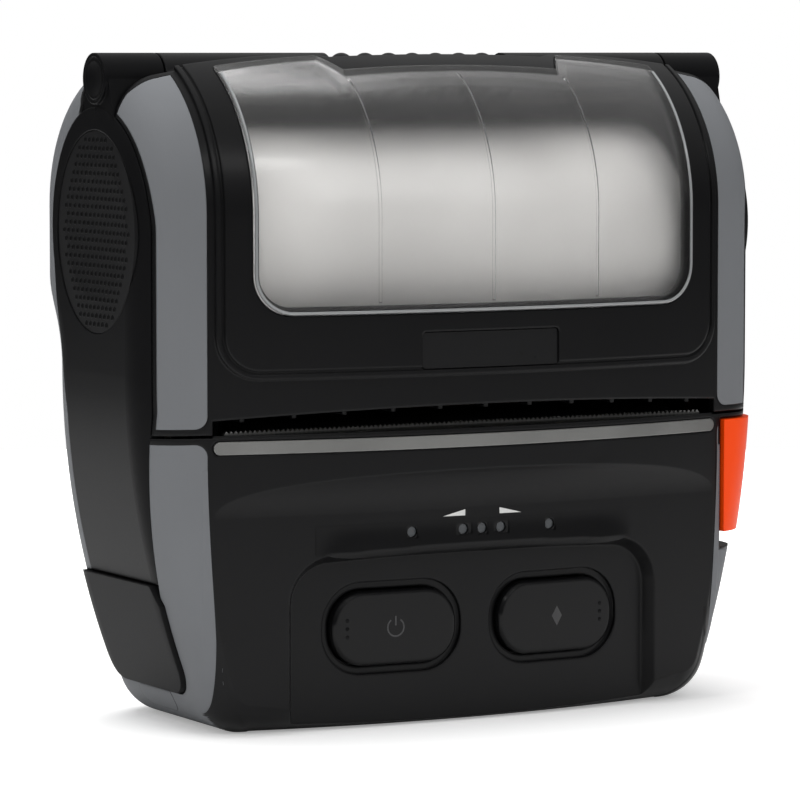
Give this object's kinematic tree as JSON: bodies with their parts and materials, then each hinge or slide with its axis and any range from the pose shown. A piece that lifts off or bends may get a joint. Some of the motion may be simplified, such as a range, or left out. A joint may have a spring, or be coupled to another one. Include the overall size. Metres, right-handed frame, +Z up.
{
  "type": "mobile thermal printer",
  "caption": "Black mobile thermal printer with grey corner bands, a hinged windowed paper cover, orange release lever, push buttons, battery pack and full print mechanism.",
  "frame": {"origin": "Middle of the flat base, straight below the cover's hinge axis.", "axes": "X runs to the right as seen from the front, -Y is the front with the buttons, Z is up."},
  "size_m": [0.1521, 0.0674, 0.1418],
  "materials": {
    "case_black": "satin black moulded plastic with a very fine grain",
    "band_grey": "matte mid-grey corner bumper",
    "lever_orange": "orange moulded plastic, slightly glossy",
    "window_clear": "clear glossy window with a smoke tint",
    "button_black": "smooth black button",
    "plate_black": "bare dark name plate",
    "spring_steel": "bright cut sheet steel",
    "shaft_steel": "ground steel shaft",
    "screw_steel": "blackened screws",
    "rubber_black": "soft black rubber",
    "sink_aluminium": "extruded aluminium",
    "head_ceramic": "glazed ceramic heater plate",
    "gear_white": "white acetal",
    "pinion_brass": "turned brass",
    "board_green": "green coated circuit board",
    "chip_black": "black moulded chips and plugs",
    "light_clear": "clear light pipe",
    "motor_steel": "plated motor can",
    "pack_black": "black battery housing",
    "paper_white": "white thermal paper",
    "core_brown": "brown card core",
    "tray_black": "black inner moulding"
  },
  "bodies": {
    "case": {"front_case": "case_black", "rear_case": "case_black", "left_side_panel": "case_black", "right_side_panel": "case_black", "left_side_disc": "case_black", "right_side_disc": "case_black", "left_hinge_cap": "case_black", "right_hinge_cap": "case_black", "hinge_pin": "shaft_steel", "rear_band_left": "band_grey", "rear_band_right": "band_grey", "front_band_left": "band_grey", "front_band_right": "band_grey", "case_screws": "screw_steel", "guide_strip": "spring_steel", "tear_bar": "spring_steel", "status_lights": "light_clear", "button_switches": "chip_black", "main_board": "board_green", "board_parts": "chip_black", "usb_port": "spring_steel", "power_jack": "chip_black", "print_head": "head_ceramic", "heat_sink": "sink_aluminium", "head_spring": "spring_steel", "print_frame": "spring_steel", "gear_pins": "shaft_steel", "stepper_motor": "motor_steel", "lever_spring": "spring_steel", "paper_tray": "tray_black", "paper_guide": "tray_black"},
    "paper_cover_body": {"paper_cover": "case_black", "cover_window": "window_clear", "name_plate": "plate_black", "cover_band_left": "band_grey", "cover_band_right": "band_grey", "platen_bushes": "gear_white"},
    "platen_body": {"platen_roller": "rubber_black", "platen_shaft": "shaft_steel", "platen_gear": "gear_white"},
    "idler_body": {"idler_gear": "gear_white"},
    "lower_gear_body": {"lower_gear": "gear_white"},
    "pinion_body": {"motor_pinion": "pinion_brass"},
    "roll_body": {"paper_roll": "paper_white", "paper_core": "core_brown"},
    "latch_body": {"latch_bar": "tray_black"},
    "lever_body": {"release_lever": "lever_orange"},
    "power_button_body": {"power_button": "button_black"},
    "feed_button_body": {"feed_button": "button_black"},
    "port_cover_body": {"port_cover": "rubber_black"},
    "battery_body": {"battery_pack": "pack_black"},
    "battery_latch_body": {"battery_latch": "case_black"}
  },
  "joints": [
    {"name": "cover_hinge", "type": "hinge", "parent": "case", "child": "paper_cover_body", "pos_m": [0, 0, 0.1365], "axis": [1, 0, 0], "range_deg": [-100, 0]},
    {"name": "platen_spin", "type": "hinge", "parent": "paper_cover_body", "child": "platen_body", "pos_m": [0, -0.0165, 0.0725], "axis": [1, 0, 0], "continuous": true},
    {"name": "idler_spin", "type": "hinge", "parent": "case", "child": "idler_body", "pos_m": [-0.0616, -0.00415, 0.06932], "axis": [1, 0, 0], "continuous": true},
    {"name": "lower_gear_spin", "type": "hinge", "parent": "case", "child": "lower_gear_body", "pos_m": [-0.0616, -0.00415, 0.05432], "axis": [1, 0, 0], "continuous": true},
    {"name": "pinion_spin", "type": "hinge", "parent": "case", "child": "pinion_body", "pos_m": [-0.0616, 0.00147, 0.04457], "axis": [1, 0, 0], "continuous": true},
    {"name": "roll_spin", "type": "hinge", "parent": "case", "child": "roll_body", "pos_m": [0, 0.002, 0.1005], "axis": [1, 0, 0], "continuous": true},
    {"name": "lever_slide", "type": "slide", "parent": "case", "child": "lever_body", "axis": [0, 0, -1], "range_m": [0, 0.0032], "stiffness_N_per_m": 400, "springref_m": -0.002, "deforming": ["lever_spring"]},
    {"name": "latch_swing", "type": "hinge", "parent": "case", "child": "latch_body", "pos_m": [0, 0.01, 0.06], "axis": [1, 0, 0], "range_deg": [0, 9.22]},
    {"name": "power_press", "type": "slide", "parent": "case", "child": "power_button_body", "axis": [0, 1, 0], "range_m": [0, 0.0008], "stiffness_N_per_m": 1200, "springref_m": -0.0005},
    {"name": "feed_press", "type": "slide", "parent": "case", "child": "feed_button_body", "axis": [0, 1, 0], "range_m": [0, 0.0008], "stiffness_N_per_m": 1200, "springref_m": -0.0005},
    {"name": "port_cover_swing", "type": "hinge", "parent": "case", "child": "port_cover_body", "pos_m": [-0.07103, 0, 0.0316], "axis": [0, 1, 0], "range_deg": [0, 110]},
    {"name": "battery_slide", "type": "slide", "parent": "case", "child": "battery_body", "axis": [0, 1, 0], "range_m": [0, 0.024]},
    {"name": "battery_latch_slide", "type": "slide", "parent": "case", "child": "battery_latch_body", "axis": [0, 0, 1], "range_m": [0, 0.003], "stiffness_N_per_m": 150, "springref_m": -0.001}
  ],
  "couplings": [
    {"joint": "idler_spin", "follows": "platen_spin", "ratio": -0.7},
    {"joint": "lower_gear_spin", "follows": "platen_spin", "ratio": 0.7},
    {"joint": "pinion_spin", "follows": "platen_spin", "ratio": -1.4},
    {"joint": "latch_swing", "follows": "lever_slide", "rad_per_m": 50}
  ]
}
